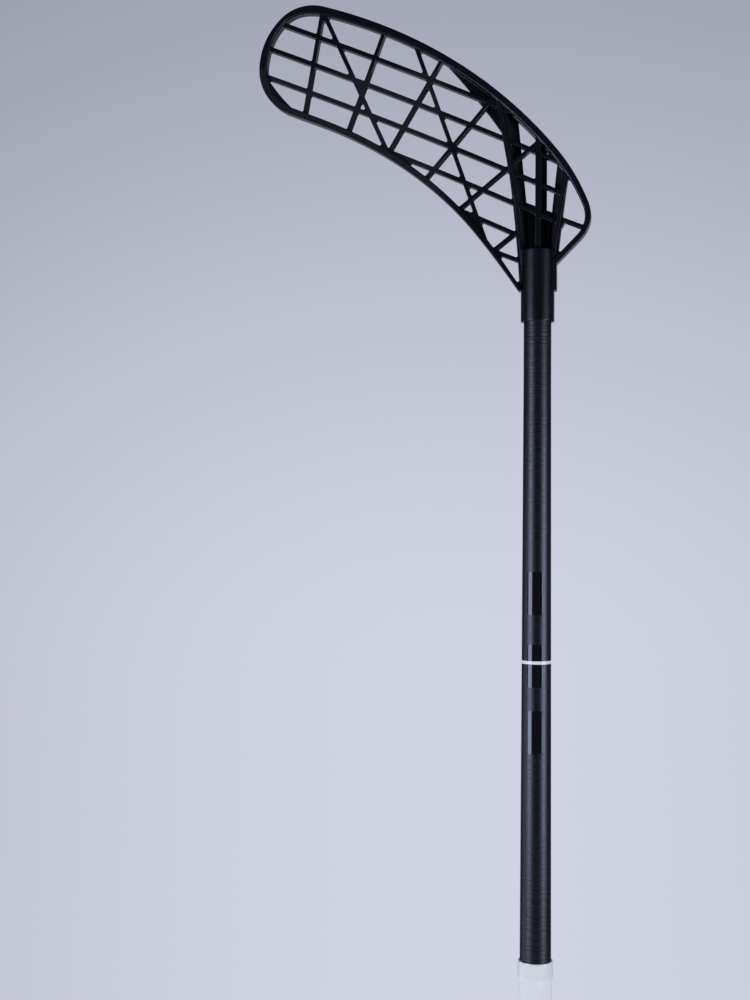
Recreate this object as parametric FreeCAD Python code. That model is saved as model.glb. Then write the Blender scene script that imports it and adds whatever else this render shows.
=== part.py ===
import FreeCAD, Part
import math
import os

# Floorball stick, standing on its butt with the blade up, in millimetres.
# The shaft's axis is the Z axis, the butt's flat end is at Z = 0, the blade's tip points to -X
# and the hollow (forehand) side of the blade faces -Y.

# Shaft: a hollow composite tube, parallel under the grip and at the blade end, tapered between them
shaft_length = 960.0
shaft_wall = 1.3
handle_diameter = 26.6
spigot_diameter = 23.4
bare_spigot_length = 50.0

# Butt cap: a flange on the end of the tube and a hollow plug inside it
cap_flange_thickness = 3.0
cap_flange_diameter = 28.2
cap_edge_radius = 1.2
cap_plug_length = 30.0
cap_plug_wall = 2.0
cap_plug_clearance = 0.1

# Grip wound on the handle, and the collar that holds its end and presses into it
grip_length = 358.8
grip_thickness = 1.1
collar_length = 13.2
collar_thickness = 0.9
collar_lip = 1.2
collar_press = 0.3

# White ring applied on the tapered part of the shaft
ring_below_socket = 288.5
ring_height = 2.7
ring_thickness = 0.12

# Socket sleeve of the blade, and the adhesive that fills its play
socket_depth = 58.0
socket_stop = 3.0
socket_wall = 2.2
adhesive_thickness = 0.3
adhesive_inset = 5.0

# Screw through the back of the socket into the shaft
screw_height = 15.0
screw_diameter = 3.0
screw_length = 8.0
screw_point = 2.0
screw_head_diameter = 6.0
screw_head_height = 1.8
screw_recess_length = 3.6
screw_recess_width = 0.8
screw_recess_depth = 0.9
screw_clearance = 0.15
boss_diameter = 10.0
boss_rise = 1.6

# Blade: a plate bent to a large radius, with a deep rim and shallower ribs that leave a ledge along the rim
bend_radius = 1000.0
rim_front = 7.0
rim_back = 5.0
rib_front = 4.6
rib_back = 3.0
rib_ledge = 0.4
corner_radius = 1.2
least_gap_radius = 0.5

# Ribs along the blade are arcs about one far centre, evenly spaced. Some run on to the rim, the others stop
# inside a prong.
long_rib_width = 3.7
long_rib_pitch = 23.4
long_rib_centre = (-1049.0, -2141.9)
long_rib_first_radius = 2537.8
long_rib_count = 5
long_ribs_to_rim = (0, 1)
long_ribs_to_right_prong = (2, 3)
left_prong_stop = -15.5
right_prong_stop = 23.0

# Cross ribs start at equal steps along the sole and each is turned from the last
cross_rib_width = 3.1
cross_rib_count = 5
cross_rib_first_start = 76.78
cross_rib_start_step = 8.915
cross_rib_first_angle = -99.4
cross_rib_turn = -10.2

# Braces: two run against the cross ribs, two meet beside the socket, and one lies in the heel
brace_width = 3.4
braces = [
    ((-181.8, 264.0), (-127.8, 146.0)),
    ((-103.9, 236.0), (-40.5, 59.0)),
    ((-16.3, 77.5), (-44.8, 55.0)),
    ((-41.0, 62.3), (-15.5, 51.9)),
    ((18.0, 87.2), (50.0, 74.2)),
]

# Plan of the blade: up the right side of the socket and the heel, along the sole to the tip, and back along
# the lower edge to the socket. Each knot is (x, height over the socket's mouth, heading in degrees, width
# of the rim), and a pair of tangent arcs joins each knot to the next.
sole_centre = (-264.9, -79.3)
sole_radius = 359.8
wing_side = 16.2
wing_bottom = 26.0
wing_rim = 3.2
knots = [
    (36.4, 69.0, 45.4, 4.4),
    (44.8, 91.1, 96.2, 4.8),
    (42.6, 100.1, 111.9, 4.8),
    (16.5, 145.0, 128.9, 5.4),
    (-181.6, 270.3, 166.5, 6.2),
    (-216.6, 260.1, 225.9, 3.8),
    (-235.2, 215.1, 269.6, 5.1),
    (-210.8, 178.5, 340.0, 5.6),
    (-181.2, 167.8, 339.1, 5.2),
    (-51.4, 73.7, 308.4, 4.6),
    (-16.9, 27.0, 304.5, 3.2),
]

# Front edges of the scoop's three prongs. The outer two are arcs, the middle one widens to the back.
prong_width = 4.8
left_prong = [(-32.2, 190.0), (-19.7, 110.0), (-12.3, 20.0)]
right_prong = [(25.8, 140.0), (19.0, 90.0), (11.2, 20.0)]
middle_prong_left = -2.0
middle_prong_width = 4.8
middle_prong_back_width = 9.2
middle_prong_bottom = 62.0
middle_prong_back = 7.0

# Webs that close the back of the lattice at its two corners: three points of the free edge, and the
# covered corner
web_thickness = 2.6
webs = [
    ((-95.0, 238.5), (-54.2, 193.4), (-21.6, 148.0), (-27.0, 215.0)),
    ((-240.0, 227.5), (-219.6, 195.8), (-188.6, 168.0), (-240.0, 168.0)),
]

# Scoop behind the prongs: its inner section at three heights, as (height, left front, left back, right back,
# right front, depth of its floor behind the axis). Its floor is open above an edge that lies along the ribs.
scoop_wall = 2.6
scoop_front = 6.0
scoop_sections = [
    (48.0, -11.0, -7.0, 7.0, 11.0, 10.4),
    (100.0, -16.8, -10.2, 11.8, 19.0, 9.2),
    (190.0, -33.4, -19.2, 21.8, 39.0, 7.0),
]
scoop_floor_top = 99.4
scoop_floor_angle = 22.1
keel_width = 1.6
keel_back = 8.0

# Sizes worked out from the ones above
shaft_start = cap_flange_thickness
shaft_end = shaft_start + shaft_length
mouth = shaft_end - socket_depth
grip_end = shaft_start + grip_length
collar_top = grip_end + collar_lip
collar_low = collar_top - collar_length
taper_end = mouth - bare_spigot_length
handle_radius = handle_diameter / 2
spigot_radius = spigot_diameter / 2
grip_radius = handle_radius + grip_thickness
pressed_radius = grip_radius - collar_press
bore_radius = spigot_radius + adhesive_thickness
socket_radius = bore_radius + socket_wall
socket_height = socket_depth + socket_stop
boss_face = socket_radius + boss_rise
hole_radius = screw_diameter / 2 + screw_clearance
head_seat = boss_face - screw_head_height
far = 400.0
straight_turn = 1e-4

Z = FreeCAD.Vector(0, 0, 1)
Y = FreeCAD.Vector(0, 1, 0)


def point(x, y, z):
    return FreeCAD.Vector(x, y, z)


def turned(profile):
    """Solid of revolution about the shaft's axis from (radius, z) corners."""
    corners = [point(r, 0, z) for r, z in profile]
    face = Part.Face(Part.makePolygon(corners + corners[:1]))
    return face.revolve(point(0, 0, 0), Z, 360)


def shaft_radius(z):
    """Outer radius of the shaft at height z."""
    share = (z - collar_top) / (taper_end - collar_top)
    share = min(max(share, 0.0), 1.0)
    return handle_radius + share * (spigot_radius - handle_radius)


def across(radius, start, end):
    """Cylinder along +Y through the screw's height, from y = start to y = end."""
    return Part.makeCylinder(radius, end - start, point(0, start, mouth + screw_height), Y)


def make_shaft():
    outside = [(handle_radius, shaft_start), (handle_radius, collar_top),
               (spigot_radius, taper_end), (spigot_radius, shaft_end)]
    inside = [(r - shaft_wall, z) for r, z in reversed(outside)]
    return turned(outside + inside).cut(across(hole_radius, 0, far))


def make_ring():
    middle = mouth - ring_below_socket
    low = middle - ring_height / 2
    high = middle + ring_height / 2
    return turned([(shaft_radius(low), low), (shaft_radius(low) + ring_thickness, low),
                   (shaft_radius(high) + ring_thickness, high), (shaft_radius(high), high)])


def make_butt_cap():
    flange = Part.makeCylinder(cap_flange_diameter / 2, cap_flange_thickness)
    flange = flange.makeFillet(cap_edge_radius, [edge for edge in flange.Edges
                                                 if edge.BoundBox.ZMax < cap_flange_thickness / 2])
    plug_radius = handle_radius - shaft_wall - cap_plug_clearance
    plug_end = cap_flange_thickness + cap_plug_length
    plug = turned([(plug_radius - cap_plug_wall, cap_flange_thickness), (plug_radius, cap_flange_thickness),
                   (plug_radius, plug_end), (plug_radius - cap_plug_wall, plug_end)])
    return flange.fuse(plug).removeSplitter()


def make_grip():
    return turned([(handle_radius, shaft_start), (grip_radius, shaft_start), (grip_radius, collar_low),
                   (pressed_radius, collar_low), (pressed_radius, grip_end), (handle_radius, grip_end)])


def make_collar():
    outside = pressed_radius + collar_thickness
    return turned([(pressed_radius, collar_low), (outside, collar_low), (outside, grip_end),
                   (handle_radius + collar_lip, collar_top), (handle_radius, collar_top),
                   (handle_radius, grip_end), (pressed_radius, grip_end)])


def make_adhesive():
    low = mouth + adhesive_inset
    sleeve = turned([(spigot_radius, low), (bore_radius, low),
                     (bore_radius, shaft_end), (spigot_radius, shaft_end)])
    return sleeve.cut(across(hole_radius, 0, far))


def make_screw():
    """Pan-head screw along -Y, its head sunk in the boss and its point inside the shaft."""
    tip = head_seat - screw_length
    shank = across(screw_diameter / 2, tip + screw_point, head_seat)
    cone = Part.makeCone(0, screw_diameter / 2, screw_point, point(0, tip, mouth + screw_height), Y)
    head = across(screw_head_diameter / 2, head_seat, boss_face)
    screw = head.fuse([shank, cone])
    bars = ((screw_recess_length, screw_recess_width), (screw_recess_width, screw_recess_length))
    for size_x, size_z in bars:
        corner = point(-size_x / 2, boss_face - screw_recess_depth, mouth + screw_height - size_z / 2)
        screw = screw.cut(Part.makeBox(size_x, screw_recess_depth, size_z, corner))
    return screw.removeSplitter()


def plan(x, h):
    """Point of the blade's plan, which lies in the plane Y = 0."""
    return point(x, 0, mouth + h)


def through(face):
    """Prism through the whole depth of the blade over a face of its plan."""
    prism = face.extrude(Y * (2 * far))
    prism.translate(Y * -far)
    return prism


def bent_slab(front, back):
    """Slab bent about an upright axis in front of the blade, from y = front to y = back at the shaft."""
    reach = math.asin(far / bend_radius)
    corners = []
    for radius in (bend_radius + front, bend_radius + back):
        corners.append([point(radius * math.sin(turn), radius * math.cos(turn) - bend_radius, mouth)
                        for turn in (-reach, 0, reach)])
    near, away = corners
    edges = [Part.Arc(*near).toShape(), Part.makeLine(near[2], away[2]),
             Part.Arc(*reversed(away)).toShape(), Part.makeLine(away[0], near[0])]
    return Part.Face(Part.Wire(edges)).extrude(Z * far)


def left_of(direction):
    """Direction of the plan that is a quarter turn to the left."""
    return direction.cross(Y)


def heading(degrees):
    """Direction of the plan at an angle from +X."""
    return point(math.cos(math.radians(degrees)), 0, math.sin(math.radians(degrees)))


def tangent_arc(start, ahead, end):
    """Arc between two points of the plan that leaves the first one along a direction."""
    chord = end - start
    turn = math.atan2(left_of(ahead).dot(chord), ahead.dot(chord))
    if abs(turn) < straight_turn:
        return Part.makeLine(start, end)
    middle = (start + end) / 2 - left_of(chord) * (math.tan(turn / 2) / 2)
    return Part.Arc(start, middle, end).toShape()


def arc_joint(start, leave, end, arrive):
    """Point and direction where the two tangent arcs between two points with set directions meet."""
    chord = end - start
    along = chord.dot(leave + arrive)
    spread = 2 * (1 - leave.dot(arrive))
    reach = chord.dot(chord) / (along + math.sqrt(along ** 2 + spread * chord.dot(chord)))
    joint = (start + end + (leave - arrive) * reach) / 2
    half = (joint - start).normalize()
    return joint, half * (2 * half.dot(leave)) - leave


def plan_face(rim_share, extra):
    """Face of the blade's plan, set in by a share of the rim's width and by an extra distance."""
    stops = []
    for x, h, angle, rim in knots:
        ahead = heading(angle)
        here = plan(x, h) + left_of(ahead) * (rim_share * rim)
        if stops:
            stops.append(arc_joint(*stops[-1], here, ahead))
        stops.append((here, ahead))
    stops = [(here + left_of(ahead) * extra, ahead) for here, ahead in stops]
    side = wing_side - rim_share * wing_rim - extra
    low = plan(side, wing_bottom + extra)
    first, ahead = stops[0]
    high = first - ahead * ((first.x - side) / ahead.x)
    edges = [Part.makeLine(low, high), Part.makeLine(high, first)]
    edges += [tangent_arc(a, ahead, b) for (a, ahead), (b, after) in zip(stops, stops[1:])]
    last, ahead = stops[-1]
    foot = last + ahead * ((low.z - last.z) / ahead.z)
    edges += [Part.makeLine(last, foot), Part.makeLine(foot, low)]
    return Part.Face(Part.Wire(edges))


def outer_plan():
    return plan_face(0, 0)


def inner_plan(extra):
    """Plan inside the rim, or inside a rim that is wider by an extra width."""
    return plan_face(1, extra)


def strip(points, width):
    """Straight or arched strip of the plan, as wide as a rib."""
    if len(points) == 2:
        line = Part.makeLine(*[plan(*p) for p in points])
        along = (line.Vertexes[1].Point - line.Vertexes[0].Point).normalize()
        side = along.cross(Y) * (width / 2)
        a, b = [vertex.Point for vertex in line.Vertexes]
        return Part.Face(Part.makePolygon([a + side, b + side, b - side, a - side, a + side]))
    arc = Part.ArcOfCircle(*[plan(*p) for p in points])
    centre, radius = arc.Center, arc.Radius
    rims = []
    for offset in (-width / 2, width / 2):
        rims.append([centre + (plan(*p) - centre) * ((radius + offset) / radius) for p in points])
    near, away = rims
    edges = [Part.Arc(*near).toShape(), Part.makeLine(near[2], away[2]),
             Part.Arc(*reversed(away)).toShape(), Part.makeLine(away[0], near[0])]
    return Part.Face(Part.Wire(edges))


def from_angle(start, angle, length):
    """End points of a line of the plan that leaves a point at an angle in degrees."""
    turn = math.radians(angle)
    return [start, (start[0] + length * math.cos(turn), start[1] + length * math.sin(turn))]


def long_rib_point(i, x):
    """Point of a long rib's middle line at a place along X."""
    radius = long_rib_first_radius - i * long_rib_pitch
    return x, long_rib_centre[1] + math.sqrt(radius ** 2 - (x - long_rib_centre[0]) ** 2)


def rib_strips(extra):
    """Every rib and prong of the blade, as strips of its plan that are wider by an extra width."""
    strips = []
    for i in range(long_rib_count):
        end = left_prong_stop
        if i in long_ribs_to_right_prong:
            end = right_prong_stop
        if i in long_ribs_to_rim:
            end = far
        points = [long_rib_point(i, x) for x in (-far, (end - far) / 2, end)]
        strips.append(strip(points, long_rib_width + extra))
    for i in range(cross_rib_count):
        start = from_angle(sole_centre, cross_rib_first_start - i * cross_rib_start_step, sole_radius)[1]
        angle = cross_rib_first_angle + i * cross_rib_turn
        strips.append(strip(from_angle(start, angle, far), cross_rib_width + extra))
    strips += [strip(brace, brace_width + extra) for brace in braces]
    strips += [strip(prong, prong_width + extra) for prong in (left_prong, right_prong)]
    middle = middle_prong_left + middle_prong_width / 2
    strips.append(strip([(middle, middle_prong_bottom), (middle, far)], middle_prong_width + extra))
    return strips


def gap_faces():
    """Gaps between the ribs. Each is worked out smaller all round, then grown, which rounds its corners."""
    cores = inner_plan(rib_ledge + corner_radius).cut(rib_strips(2 * corner_radius)).Faces
    return [core.makeOffset2D(corner_radius) for core in cores
            if 2 * core.Area / core.Length > least_gap_radius]


def make_lattice(outline):
    """Rim and ribs: a bent plate, thinned inside the rim and pierced between the ribs."""
    inside = inner_plan(0)
    plate = through(outline).common(bent_slab(-rim_front, rim_back))
    plate = plate.cut(through(inside).common(bent_slab(-2 * rim_front, -rib_front)))
    plate = plate.cut(through(inside).common(bent_slab(rib_back, 2 * rim_back)))
    return plate.cut([through(gap) for gap in gap_faces()])


def scoop_loft(margin, front):
    """Loft through the scoop's sections, widened by a margin, from y = front to its floor."""
    wires = []
    for h, left_front, left_back, right_back, right_front, depth in scoop_sections:
        back = depth + margin
        left_slope = (left_back - left_front) / (depth + scoop_front)
        right_slope = (right_back - right_front) / (depth + scoop_front)
        corners = []
        left, right = left_front - margin, right_front + margin
        for x, slope, y in ((left, left_slope, front), (left, left_slope, back),
                            (right, right_slope, back), (right, right_slope, front)):
            corners.append(point(x + slope * (y + scoop_front), y, mouth + h))
        wires.append(Part.makePolygon(corners + corners[:1]))
    return Part.makeLoft(wires, True, True)


def scoop_window():
    """Opening in the scoop's floor between its side walls, above an edge that lies along the ribs."""
    wires = []
    for h, left_front, left_back, right_back, right_front, depth in scoop_sections:
        corners = [point(x, y, mouth + h) for x, y in ((left_back, 0), (left_back, far),
                                                       (right_back, far), (right_back, 0))]
        wires.append(Part.makePolygon(corners + corners[:1]))
    edge = point(0, 0, mouth + scoop_floor_top)
    above = Part.makeBox(2 * far, far, far, point(-far, 0, edge.z))
    above.rotate(edge, Y, scoop_floor_angle)
    return Part.makeLoft(wires, True, True).common(above)


def make_scoop(outline):
    """Sloping side walls and closed floor of the scoop, between the socket and the sole."""
    shell = scoop_loft(scoop_wall, -scoop_front)
    hollow = scoop_loft(0, -2 * scoop_front)
    return shell.cut([hollow, scoop_window()]).common(through(outline))


def make_webs(outline):
    """Thin webs on the back, each between an arched edge and the rim."""
    solids = []
    for start, middle, end, corner in webs:
        first, last, covered = plan(*start), plan(*end), plan(*corner)
        edges = [Part.Arc(first, plan(*middle), last).toShape(), Part.makeLine(last, covered),
                 Part.makeLine(covered, first)]
        prism = through(Part.Face(Part.Wire(edges)).common(outline))
        solids.append(prism.common(bent_slab(rim_back - web_thickness, rim_back)))
    return solids


def make_keel(outline):
    """Deeper, wider rim where the scoop meets the sole."""
    band = through(outline.cut(inner_plan(keel_width))).common(bent_slab(0, keel_back))
    return band.common(scoop_loft(scoop_wall, -scoop_front))


def make_middle_prong(outline):
    """Wedge behind the middle prong's strip, widening towards the back."""
    left = middle_prong_left
    bottom = mouth + middle_prong_bottom
    corners = [point(left, 0, bottom), point(left + middle_prong_width, 0, bottom),
               point(left + middle_prong_back_width, middle_prong_back, bottom),
               point(left, middle_prong_back, bottom)]
    return Part.Face(Part.makePolygon(corners + corners[:1])).extrude(Z * far).common(through(outline))


def make_blade():
    outline = outer_plan()
    socket = Part.makeCylinder(socket_radius, socket_height, point(0, 0, mouth))
    boss = across(boss_diameter / 2, 0, boss_face)
    pieces = [make_scoop(outline), make_keel(outline), make_middle_prong(outline), socket, boss]
    blade = make_lattice(outline).fuse(pieces + make_webs(outline))
    bore = Part.makeCylinder(bore_radius, socket_depth, point(0, 0, mouth))
    head_room = across(screw_head_diameter / 2 + screw_clearance, head_seat, far)
    return blade.cut([bore, across(hole_radius, 0, far), head_room]).removeSplitter()


os.makedirs("parts", exist_ok=True)
nodes = {
    "butt_cap": make_butt_cap(),
    "shaft_tube": make_shaft(),
    "grip_tape": make_grip(),
    "grip_collar": make_collar(),
    "shaft_ring": make_ring(),
    "socket_adhesive": make_adhesive(),
    "blade": make_blade(),
    "blade_screw": make_screw(),
}
for name, shape in nodes.items():
    shape.exportStep("parts/" + name + ".step")
    box = shape.BoundBox
    print(name, "solids", len(shape.Solids), "valid", shape.isValid(), "volume", round(shape.Volume),
          "x", round(box.XMin, 1), round(box.XMax, 1), "y", round(box.YMin, 1), round(box.YMax, 1),
          "z", round(box.ZMin, 1), round(box.ZMax, 1))
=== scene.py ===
import math

import bmesh
import bpy
from mathutils import Matrix, Vector


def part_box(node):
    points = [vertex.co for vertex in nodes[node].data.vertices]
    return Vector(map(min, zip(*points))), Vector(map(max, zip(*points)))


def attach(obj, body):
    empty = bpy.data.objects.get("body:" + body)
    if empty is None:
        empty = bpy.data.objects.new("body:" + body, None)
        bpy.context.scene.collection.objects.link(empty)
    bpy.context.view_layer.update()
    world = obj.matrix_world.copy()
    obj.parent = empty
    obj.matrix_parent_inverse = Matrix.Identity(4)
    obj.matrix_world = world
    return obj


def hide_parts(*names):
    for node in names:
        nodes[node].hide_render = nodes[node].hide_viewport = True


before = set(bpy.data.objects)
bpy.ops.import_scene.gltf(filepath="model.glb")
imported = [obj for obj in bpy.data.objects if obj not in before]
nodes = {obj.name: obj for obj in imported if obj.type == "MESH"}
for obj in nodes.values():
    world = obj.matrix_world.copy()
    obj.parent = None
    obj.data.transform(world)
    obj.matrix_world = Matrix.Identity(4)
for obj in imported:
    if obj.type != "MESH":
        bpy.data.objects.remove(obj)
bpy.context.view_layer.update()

bpy.ops.object.select_all(action="DESELECT")


# Shaft: a hollow tapered tube of wound fibre and resin, ground round and sprayed with black satin lacquer.
# The grinding leaves fine rings under the lacquer. Below the socket it carries a printed film, whose upper
# edge shows as a faint line, with three plain bars of gloss lacquer on its front.
class Wire:
    """One socket of a shader tree; arithmetic on it adds Math nodes."""

    def __init__(self, tree, socket=None):
        self.tree = tree
        self.socket = socket

    def node(self, kind, settings, inputs, out=0):
        """Adds a node with its settings and then its inputs, and gives one of its outputs."""
        new = self.tree.nodes.new(kind)
        for name, value in settings.items():
            setattr(new, name, value)
        for name, value in inputs.items():
            if isinstance(value, Wire):
                self.tree.links.new(value.socket, new.inputs[name])
            else:
                new.inputs[name].default_value = value
        return Wire(self.tree, new.outputs[out])

    def math(self, operation, first, second):
        return self.node("ShaderNodeMath", {"operation": operation}, {0: first, 1: second})

    def __add__(self, other):
        return self.math("ADD", self, other)

    def __sub__(self, other):
        return self.math("SUBTRACT", self, other)

    def __mul__(self, other):
        return self.math("MULTIPLY", self, other)

    def __rsub__(self, other):
        return self.math("SUBTRACT", other, self)

    __radd__ = __add__
    __rmul__ = __mul__

    def axis(self, name):
        """One axis of a vector: X, Y or Z."""
        return self.node("ShaderNodeSeparateXYZ", {}, {"Vector": self}, out=name)

    def step(self, low, high):
        """0 below low, 1 above high and smooth between them."""
        return self.node("ShaderNodeMapRange", {"interpolation_type": "SMOOTHSTEP"},
                         {"Value": self, "From Min": low, "From Max": high})

    def between(self, low, high, soft):
        """1 between two limits and 0 outside them, with soft edges."""
        return self.step(low - soft, low + soft) * (1.0 - self.step(high - soft, high + soft))


def noise(at, size, detail=2.0):
    """Noise from 0 to 1 whose lumps are about size metres."""
    return at.node("ShaderNodeTexNoise", {}, {"Vector": at, "Scale": 1.0 / size, "Detail": detail})


def stretched(at, x, y, z):
    """Coordinates scaled along each axis, for noise that runs in streaks."""
    return at.node("ShaderNodeVectorMath", {"operation": "MULTIPLY"}, {0: at, 1: (x, y, z)})


def mix_colour(factor, first, second):
    return factor.node("ShaderNodeMix", {"data_type": "RGBA"}, {0: factor, 6: first, 7: second}, out=2)


def rgb(red, green, blue):
    """A colour given in linear light."""
    return (red, green, blue, 1.0)


class Finish:
    """A material with one shader, whose constant values are set on its sockets."""

    def __init__(self, name, **fixed):
        self.material = bpy.data.materials.new(name)
        self.material.use_nodes = True
        self.tree = self.material.node_tree
        self.shader = self.tree.nodes["Principled BSDF"]
        for socket, value in fixed.items():
            self.shader.inputs[socket.replace("_", " ")].default_value = value
        self.at = Wire(self.tree).node("ShaderNodeTexCoord", {}, {}, out="Object")

    def set(self, socket, value):
        self.tree.links.new(value.socket, self.shader.inputs[socket])

    def bump(self, height, depth, **more):
        """Raises the surface by depth metres where height goes from 0 to 1."""
        inputs = {"Height": height, "Distance": depth, **more}
        self.set("Normal", self.at.node("ShaderNodeBump", {}, inputs))


def dress(piece, finish):
    """Gives a piece one finish all over."""
    piece.data.materials.clear()
    piece.data.materials.append(finish.material)


socket_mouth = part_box("blade")[0].z
line_rise = 0.0019
streaks_per_metre = 12.0
line_start = 0.3
line_full = 0.7
line_depth = 0.00006
cloud_size = 0.05
film_below_mouth = 0.0148
film_line = 0.0005
film_sink = 0.8
bars_below_mouth = (0.3655, 0.3095, 0.2485)
bar_height = 0.0365
bar_left = -0.0072
bar_right = 0.0062
bar_edge = 0.0003
bar_fill = 0.9
lacquer_roughness = 0.32
line_roughness = 0.08
cloud_roughness = 0.04
film_roughness = 0.2
bar_gloss = 0.27
groove_black = rgb(0.0014, 0.0017, 0.003)
ridge_black = rgb(0.0024, 0.003, 0.005)
bar_black = rgb(0.005, 0.0055, 0.008)

lacquer = Finish("satin_black_lacquer", Specular_Tint=rgb(0.7, 0.77, 1.0), Specular_IOR_Level=0.65)
x, y, z = (lacquer.at.axis(name) for name in "XYZ")
on_front = x.between(bar_left, bar_right, bar_edge) * (1.0 - y.step(-bar_edge, bar_edge))
bar_lows = [socket_mouth - drop for drop in bars_below_mouth]
bars = sum(z.between(low, low + bar_height, bar_edge) for low in bar_lows) * on_front
film_edge = socket_mouth - film_below_mouth
film_step = z.between(film_edge - film_line, film_edge, film_line / 2)
round_shaft = stretched(lacquer.at, streaks_per_metre, streaks_per_metre, 1.0 / line_rise)
lines = noise(round_shaft, size=1.0, detail=1.0).step(line_start, line_full)
cloud = noise(lacquer.at, cloud_size)
lacquer.set("Base Color", mix_colour(bars, mix_colour(lines, groove_black, ridge_black), bar_black))
lacquer.set("Roughness", lacquer_roughness + lines * line_roughness + cloud * cloud_roughness
            + film_step * film_roughness - bars * bar_gloss)
lacquer.bump(lines * (1.0 - bars * bar_fill) - film_step * film_sink, line_depth)
dress(nodes["shaft_tube"], lacquer)


# Ring: a thin white band of gloss lacquer, about a tenth of a millimetre thick.
# It is printed round the shaft at about half its bare length.
def mottle(finish, size, dark, pale):
    """Colours a finish between two shades, in soft lumps."""
    finish.set("Base Color", mix_colour(noise(finish.at, size), dark, pale))


def roughen(finish, size, depth):
    """Gives a finish a fine uneven skin."""
    finish.bump(noise(finish.at, size), depth)


ring_paint = Finish("white_ring_lacquer", Roughness=0.28)
mottle(ring_paint, size=0.004, dark=rgb(0.74, 0.75, 0.78), pale=rgb(0.8, 0.81, 0.84))
roughen(ring_paint, size=0.0008, depth=0.00002)
dress(nodes["shaft_ring"], ring_paint)


# Adhesive: the thin sleeve of set glue that fills the socket round the end of the shaft.
# It is out of sight, and its amber resin is a little cloudy.
glue = Finish("cured_adhesive", Roughness=0.4)
mottle(glue, size=0.006, dark=rgb(0.35, 0.26, 0.13), pale=rgb(0.45, 0.36, 0.2))
dress(nodes["socket_adhesive"], glue)


# Blade: one injection moulding of black polyethylene, with its rim, ribs, scoop and socket in one piece.
# The mould leaves small round edges and a fine matt grain, and the core that shapes the scoop leaves its
# inner walls coarser.
edge_round = 0.0013
edge_samples = 16
scoop_start = 0.048
scoop_end = 0.215
scoop_edge = 0.005
core_start = 0.005
core_full = 0.009
flow_size = 0.03
grain_size = 0.0005
grain_depth = 0.00005
moulded_roughness = 0.24
flow_roughness = 0.06
grain_roughness = 0.04
core_roughness = 0.5
deep_black = rgb(0.0009, 0.0012, 0.0024)
pale_black = rgb(0.0017, 0.0022, 0.0042)

moulding = Finish("black_polyethylene", Specular_Tint=rgb(0.7, 0.76, 1.0), Specular_IOR_Level=0.55)
flow = noise(moulding.at, flow_size)
grain = noise(moulding.at, grain_size, detail=3.0)
moulding.set("Base Color", mix_colour(flow, deep_black, pale_black))
facing = moulding.at.node("ShaderNodeNewGeometry", {}, {}, out="Normal")
inward = 0.0 - facing.axis("X") * moulding.at.axis("X")
in_scoop = moulding.at.axis("Z").between(socket_mouth + scoop_start, socket_mouth + scoop_end, scoop_edge)
core = inward.step(core_start, core_full) * in_scoop
moulding.set("Roughness", moulded_roughness + flow * flow_roughness + grain * grain_roughness
             + core * core_roughness)
soft_edges = moulding.at.node("ShaderNodeBevel", {"samples": edge_samples}, {"Radius": edge_round})
moulding.bump(grain, grain_depth, Normal=soft_edges)
dress(nodes["blade"], moulding)


# Screw: a small self-tapping screw of plated steel, driven through the back of the socket into the shaft.
# The plating is bright and a little cloudy.
plating_roughness = 0.22
dull_spots = 0.0006
dull_roughness = 0.15

steel = Finish("bright_steel", Metallic=1.0)
mottle(steel, size=0.002, dark=rgb(0.5, 0.5, 0.51), pale=rgb(0.62, 0.62, 0.63))
steel.set("Roughness", plating_roughness + noise(steel.at, dull_spots) * dull_roughness)
dress(nodes["blade_screw"], steel)


# Collar: a moulded band of glossy white plastic, with a smooth and faintly uneven skin.
# It is pushed over the end of the grip and holds it down.
collar_plastic = Finish("gloss_white_plastic", Roughness=0.22)
mottle(collar_plastic, size=0.01, dark=rgb(0.77, 0.78, 0.8), pale=rgb(0.81, 0.82, 0.84))
roughen(collar_plastic, size=0.003, depth=0.00004)
dress(nodes["grip_collar"], collar_plastic)


# Grip: a strip of soft white foam with a matt skin, wound up the handle so that each turn laps the last.
# The collar presses the end of the last turn down.
grip_low, grip_high = (corner.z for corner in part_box("grip_tape"))
grip_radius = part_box("grip_tape")[1].x
collar_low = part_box("grip_collar")[0].z
turn_rise = 0.026
turn_steps = 72
spare_turns = 2
lap_step = 0.0005
lap_round = 0.0008
lap_below_end = 0.0133
front_share = 0.75
strip_thickness = 0.0008
collar_press = 0.00045
profile_steps = 12
merge_distance = 1e-6
smooth_angle = math.radians(40.0)


def apply_modifier(piece, kind, **settings):
    """Adds a modifier to a piece, sets it and applies it."""
    modifier = piece.modifiers.new(kind.title(), kind)
    for name, value in settings.items():
        setattr(modifier, name, value)
    bpy.context.view_layer.objects.active = piece
    bpy.ops.object.modifier_apply(modifier=modifier.name)


turns = math.ceil((grip_high - grip_low) / turn_rise) + spare_turns
first_lap = grip_high - lap_below_end - (front_share + turns - 1) * turn_rise
bpy.ops.mesh.primitive_circle_add(vertices=profile_steps + 1, radius=turn_rise)
grip = bpy.context.object
grip.name = "grip_wrap"

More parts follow.
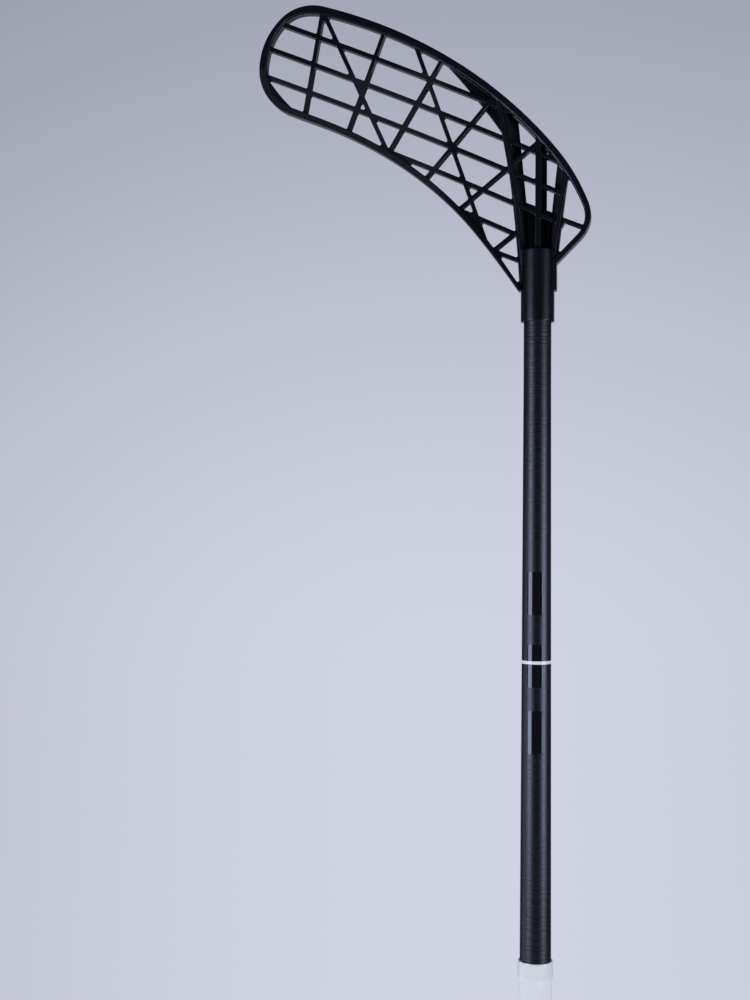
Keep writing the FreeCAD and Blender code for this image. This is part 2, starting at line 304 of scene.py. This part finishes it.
# The circle is opened and drawn out into the profile of one turn, with its points crowded at the lap
bpy.ops.object.mode_set(mode="EDIT")
profile = bmesh.from_edit_mesh(grip.data)
profile.verts.ensure_lookup_table()
profile.edges.remove(profile.edges.get((profile.verts[0], profile.verts[-1])))
for step, corner in enumerate(profile.verts):
    rise = (step / profile_steps) ** 2
    rounded = min(1.0, rise * turn_rise / lap_round)
    lap = math.sin(rounded * math.pi / 2) * (1.0 - rise)
    corner.co = Vector((grip_radius - lap_step * (1.0 - lap), 0.0, first_lap + rise * turn_rise))
bmesh.update_edit_mesh(grip.data)
bpy.ops.object.mode_set(mode="OBJECT")
apply_modifier(grip, "SCREW", axis="Z", angle=2.0 * math.pi, screw_offset=turn_rise, iterations=turns,
               steps=turn_steps, render_steps=turn_steps,
               use_merge_vertices=True, merge_threshold=merge_distance)

# The winding is cut to the grip's length and pressed in under the collar
bpy.ops.object.mode_set(mode="EDIT")
for cut, keep_below in ((grip_low, False), (grip_high, True)):
    bpy.ops.mesh.select_all(action="SELECT")
    bpy.ops.mesh.bisect(plane_co=(0.0, 0.0, cut), plane_no=(0.0, 0.0, 1.0),
                        clear_inner=not keep_below, clear_outer=keep_below)
bpy.ops.mesh.select_all(action="SELECT")
bpy.ops.mesh.remove_doubles(threshold=merge_distance)
bpy.ops.mesh.normals_make_consistent(inside=False)
bpy.ops.mesh.select_all(action="DESELECT")
skin = bmesh.from_edit_mesh(grip.data)
for corner in skin.verts:
    if corner.co.z > collar_low:
        corner.select_set(True)
skin.select_flush_mode()
bmesh.update_edit_mesh(grip.data)
press = (grip_radius - collar_press) / grip_radius
bpy.ops.transform.resize(value=(press, press, 1.0), center_override=(0.0, 0.0, 0.0))
bpy.ops.object.mode_set(mode="OBJECT")
apply_modifier(grip, "SOLIDIFY", thickness=strip_thickness, offset=-1.0)
bpy.ops.object.shade_smooth_by_angle(angle=smooth_angle)

grip_skin = Finish("matt_white_foam", Roughness=0.62)
mottle(grip_skin, size=0.008, dark=rgb(0.76, 0.77, 0.79), pale=rgb(0.82, 0.83, 0.85))
roughen(grip_skin, size=0.0007, depth=0.00008)
dress(grip, grip_skin)
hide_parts("grip_tape")
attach(grip, "root")
grip.select_set(False)


# Butt cap: a moulded plug of black rubbery plastic with a flat flange.
# It is pushed into the open end of the tube and closes it.
cap_rubber = Finish("black_rubber", Roughness=0.55)
mottle(cap_rubber, size=0.01, dark=rgb(0.012, 0.012, 0.013), pale=rgb(0.02, 0.02, 0.021))
roughen(cap_rubber, size=0.0006, depth=0.00006)
dress(nodes["butt_cap"], cap_rubber)


# Studio: a pale round floor, a blue-grey backdrop that darkens upwards, two soft boxes in front and a dim
# panel at the left. The camera looks level at the shaft, from where the photograph was taken.
floor_radius = 0.9
floor_corners = 96
unlit = rgb(0.0, 0.0, 0.0)
floor_glow = rgb(0.18, 0.19, 0.215)

bpy.ops.mesh.primitive_circle_add(vertices=floor_corners, radius=floor_radius, fill_type="NGON")
floor = bpy.context.object
floor.name = "floor"
floor_paint = Finish("pale_floor", Roughness=0.9, Specular_IOR_Level=0.2, Emission_Strength=1.0)
seen = floor_paint.at.node("ShaderNodeLightPath", {}, {}, out="Is Camera Ray")
floor_paint.set("Emission Color", mix_colour(seen, unlit, floor_glow))
mottle(floor_paint, size=0.2, dark=rgb(0.6, 0.61, 0.68), pale=rgb(0.62, 0.63, 0.7))
dress(floor, floor_paint)

camera_turn = math.radians(10.0)
camera_roll = math.radians(0.2)
camera_place = (0.0888, -1.2962, 0.7533)
camera_lens = 54.72
camera_sensor = 36.0
low_tone = rgb(0.631, 0.651, 0.76)
high_tone = rgb(0.305, 0.32, 0.395)
tone_start = -0.12
tone_end = 0.5
tone_limit = 0.305
side_middle = 0.05
side_fall = 1.5
least_side = 0.85
mirror_share = 0.55
behind_start = 0.75
behind_full = 0.97
low_glow = 0.03
high_glow = 0.3
glow_bottom = 0.16
glow_top = 0.4
glow_edge = 0.05
ambient = 0.38
lamp_colour = (0.9, 0.93, 1.0)

world = bpy.data.worlds.new("backdrop")
bpy.context.scene.world = world
world.use_nodes = True
sky = Wire(world.node_tree)
background = world.node_tree.nodes["Background"]
direction = sky.node("ShaderNodeTexCoord", {}, {}, out="Generated")
height = direction.axis("Z")
away = direction.axis("Y")
to_right = (math.cos(camera_turn), math.sin(camera_turn), 0.0)
side = sky.node("ShaderNodeVectorMath", {"operation": "DOT_PRODUCT"},
                {0: direction, 1: to_right}, out="Value")
limited = height.math("MINIMUM", height, tone_limit)
gradient = mix_colour(limited.step(tone_start, tone_end), low_tone, high_tone)
off_middle = side - side_middle
fade = off_middle.math("MAXIMUM", 1.0 - off_middle * off_middle * side_fall, least_side)
ray_kinds = ("Is Camera Ray", "Is Glossy Ray", "Is Transmission Ray")
camera_ray, mirror_ray, through_ray = (sky.node("ShaderNodeLightPath", {}, {}, out=kind)
                                       for kind in ray_kinds)
glow = height.between(glow_bottom, glow_top, glow_edge) * (high_glow - low_glow) + low_glow
behind = away.step(behind_start, behind_full) * (mirror_share - glow) + glow
others = 1.0 - camera_ray - mirror_ray - through_ray
strength = camera_ray * fade + (mirror_ray + through_ray) * behind + others * ambient
world.node_tree.links.new(gradient.socket, background.inputs["Color"])
world.node_tree.links.new(strength.socket, background.inputs["Strength"])


def soft_box(name, azimuth, distance, width, length, middle, radiance):
    """A soft box that faces the shaft; azimuth is 0 degrees at the front and grows to the right."""
    turn = math.radians(azimuth)
    place = Vector((distance * math.sin(turn), -distance * math.cos(turn), middle))
    light = bpy.data.lights.new(name, "AREA")
    light.shape = "RECTANGLE"
    light.size = width
    light.size_y = length
    light.energy = math.pi * radiance * width * length
    light.color = lamp_colour
    lamp = bpy.data.objects.new(name, light)
    lamp.matrix_world = (Matrix.Translation(place) @ Matrix.Rotation(turn, 4, "Z")
                         @ Matrix.Rotation(math.pi / 2, 4, "X"))
    lamp.visible_camera = False
    bpy.context.scene.collection.objects.link(lamp)


soft_box("left_soft_box", azimuth=-48.0, distance=1.4, width=0.76, length=0.9, middle=0.54, radiance=6.1)
soft_box("right_soft_box", azimuth=65.0, distance=1.4, width=0.76, length=0.82, middle=0.5, radiance=6.6)
soft_box("left_panel", azimuth=-92.0, distance=1.6, width=1.1, length=1.0, middle=0.2, radiance=0.8)

camera = bpy.data.cameras.new("camera")
camera.lens = camera_lens
camera.sensor_width = camera_sensor
viewer = bpy.data.objects.new("camera", camera)
viewer.matrix_world = (Matrix.Translation(camera_place) @ Matrix.Rotation(camera_turn, 4, "Z")
                       @ Matrix.Rotation(math.pi / 2, 4, "X") @ Matrix.Rotation(camera_roll, 4, "Z"))
bpy.context.scene.collection.objects.link(viewer)
bpy.context.scene.camera = viewer
bpy.context.scene.view_settings.view_transform = "Standard"
